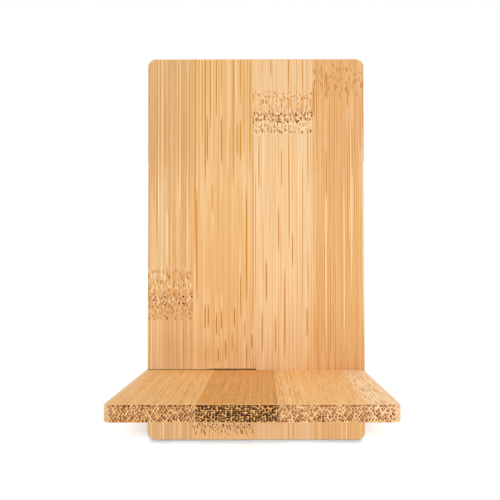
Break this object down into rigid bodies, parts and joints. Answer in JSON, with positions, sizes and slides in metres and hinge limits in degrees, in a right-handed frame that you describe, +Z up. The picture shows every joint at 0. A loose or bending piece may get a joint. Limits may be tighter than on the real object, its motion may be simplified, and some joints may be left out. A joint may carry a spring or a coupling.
{
  "type": "phone holder",
  "caption": "Leaning phone holder of two cross-lapped bamboo boards: a tall back panel and a deep shelf that passes through it and is also the rear leg.",
  "frame": {"origin": "on the desk, under the middle of the holder's bounding box", "axes": "+X to the viewer's right, +Y to the rear, away from the viewer, +Z up; the panel leans back towards +Y"},
  "size_m": [0.0808, 0.136, 0.136],
  "materials": {
    "back_bamboo_tan": "sanded bamboo, greyish tan, satin",
    "back_bamboo_honey": "sanded bamboo, warm honey with orange-brown streaks, satin",
    "back_bamboo_cream": "sanded bamboo, pale cream, satin",
    "back_bamboo_reddish": "sanded bamboo, reddish tan with short streaks, satin",
    "shelf_bamboo_honey": "sanded bamboo, light honey, satin",
    "shelf_bamboo_amber": "sanded bamboo, amber with fine dashes, satin",
    "shelf_bamboo_tan": "sanded bamboo, light tan, satin",
    "shelf_bamboo_cream": "sanded bamboo, pale cream with spindle-shaped dashes, satin"
  },
  "bodies": {
    "back_panel": {"back_slat_1_lower": "back_bamboo_tan", "back_slat_1_upper": "back_bamboo_tan", "back_slat_2_lower": "back_bamboo_honey", "back_slat_2_upper": "back_bamboo_honey", "back_slat_3": "back_bamboo_cream", "back_slat_4": "back_bamboo_reddish"},
    "shelf": {"shelf_slat_1": "shelf_bamboo_honey", "shelf_slat_2": "shelf_bamboo_amber", "shelf_slat_3_front": "shelf_bamboo_tan", "shelf_slat_3_rear": "shelf_bamboo_tan", "shelf_slat_4_front": "shelf_bamboo_cream", "shelf_slat_4_rear": "shelf_bamboo_cream"}
  },
  "joints": [
    {"name": "shelf_slide", "type": "slide", "parent": "back_panel", "child": "shelf", "axis": [-1, 0, 0], "range_m": [0, 0.04]}
  ]
}
